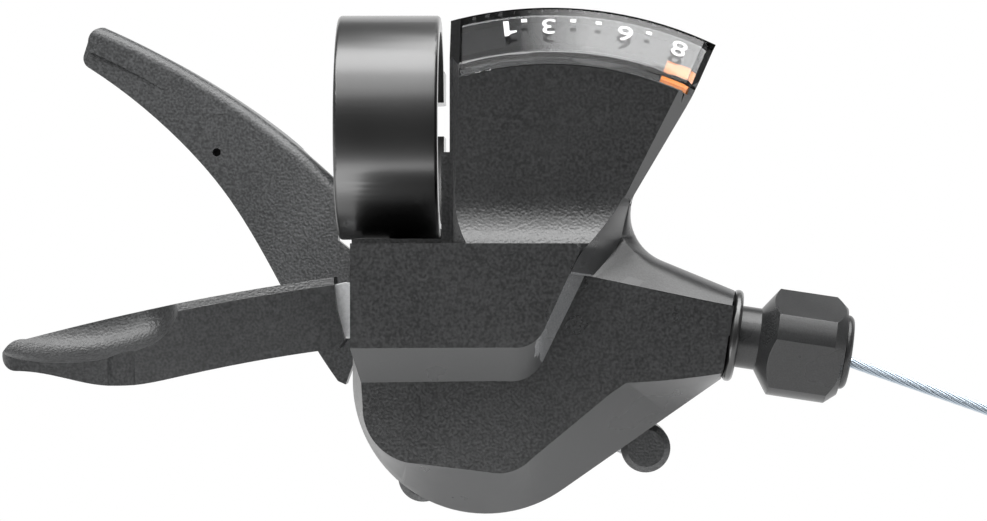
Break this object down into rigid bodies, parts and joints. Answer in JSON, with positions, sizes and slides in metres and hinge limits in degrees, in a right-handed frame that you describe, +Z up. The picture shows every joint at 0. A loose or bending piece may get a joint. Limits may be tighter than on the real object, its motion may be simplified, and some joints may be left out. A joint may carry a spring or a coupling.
{
  "type": "trigger gear shifter",
  "caption": "Handlebar trigger gear shifter with a clamp band, a curved gear display with a sliding pointer, thumb and release levers, a barrel adjuster and a bare inner cable tied in a coil",
  "frame": {"origin": "centre of the handlebar clamp bore", "axes": "+X along the handlebar towards the cable side, +Z up, the display and panels face -Y"},
  "size_m": [0.1468, 0.0492, 0.0805],
  "materials": {
    "shell": "fine-grained dark grey moulding",
    "lever_plastic": "fine-grained black moulding",
    "clamp_metal": "satin black",
    "dark_screw": "black oxide",
    "lens": "clear moulded plastic",
    "dial": "matt",
    "flag": "bright orange",
    "knob_plastic": "fine satin",
    "bush_metal": "black",
    "plate_steel": "zinc plated",
    "pin_steel": "zinc plated",
    "drum_plastic": "smooth",
    "spring_steel": "drawn wire",
    "detent_brass": "turned",
    "cable_steel": "stranded wire",
    "cable_head_zinc": "cast",
    "tie": "smooth"
  },
  "bodies": {
    "housing": {"clamp_band": "clamp_metal", "clamp_bolt": "dark_screw", "foot_screw": "pin_steel", "front_cover": "shell", "display_lens": "lens", "dial_plate": "dial", "pointer_pin": "pin_steel", "main_axle": "pin_steel", "axle_clips": "pin_steel", "base_plate": "plate_steel", "rear_case": "shell", "boss_screws": "pin_steel", "cover_screws": "pin_steel", "port_plug": "shell", "release_stud": "pin_steel", "adjuster_bush": "bush_metal", "drum_spring": "spring_steel", "thumb_spring": "spring_steel", "release_spring": "spring_steel", "inner_cable": "cable_steel", "cable_run": "cable_steel", "cable_coil": "cable_steel", "coil_tie": "tie"},
    "drum": {"cable_drum": "drum_plastic", "ratchet_wheel": "plate_steel", "cable_head": "cable_head_zinc"},
    "pointer": {"pointer": "flag"},
    "thumb": {"thumb_lever": "lever_plastic", "thumb_plate": "plate_steel", "feed_pin": "pin_steel", "feed_pawl": "plate_steel"},
    "release": {"release_lever": "lever_plastic", "release_plate": "plate_steel", "hold_pawl": "plate_steel"},
    "adjuster_slide": {"casing_ferrule": "knob_plastic", "detent_ring": "detent_brass"},
    "adjuster": {"adjuster_knob": "knob_plastic"}
  },
  "joints": [
    {"name": "drum_turn", "type": "hinge", "parent": "housing", "child": "drum", "pos_m": [0.0113, 0, -0.029], "axis": [0, -1, 0], "range_deg": [0, 122.01], "stiffness_Nm_per_rad": 0.02, "springref_deg": -28.65, "deforming": ["drum_spring"]},
    {"name": "pointer_turn", "type": "hinge", "parent": "housing", "child": "pointer", "pos_m": [0.0186, 0, -0.0302], "axis": [0, -1, 0], "range_deg": [0, 28.61]},
    {"name": "thumb_push", "type": "hinge", "parent": "housing", "child": "thumb", "pos_m": [0.0113, 0, -0.029], "axis": [0, -1, 0], "range_deg": [0, 42], "stiffness_Nm_per_rad": 0.08, "springref_deg": -28.65, "deforming": ["thumb_spring"]},
    {"name": "release_pull", "type": "hinge", "parent": "housing", "child": "release", "pos_m": [0.0012, 0, -0.0215], "axis": [0, 1, 0], "range_deg": [0, 11], "stiffness_Nm_per_rad": 0.1, "springref_deg": -17.19, "deforming": ["release_spring"]},
    {"name": "adjuster_travel", "type": "slide", "parent": "housing", "child": "adjuster_slide", "axis": [0.989, 0, -0.1478], "range_m": [0, 0.0024]},
    {"name": "adjuster_turn", "type": "hinge", "parent": "adjuster_slide", "child": "adjuster", "pos_m": [0.03867, -0.01, -0.02379], "axis": [0.989, 0, -0.1478], "range_deg": [0, 1080.1]}
  ],
  "couplings": [
    {"joint": "pointer_turn", "follows": "drum_turn", "ratio": 0.23441},
    {"joint": "adjuster_turn", "follows": "adjuster_travel", "rad_per_m": 7854}
  ]
}
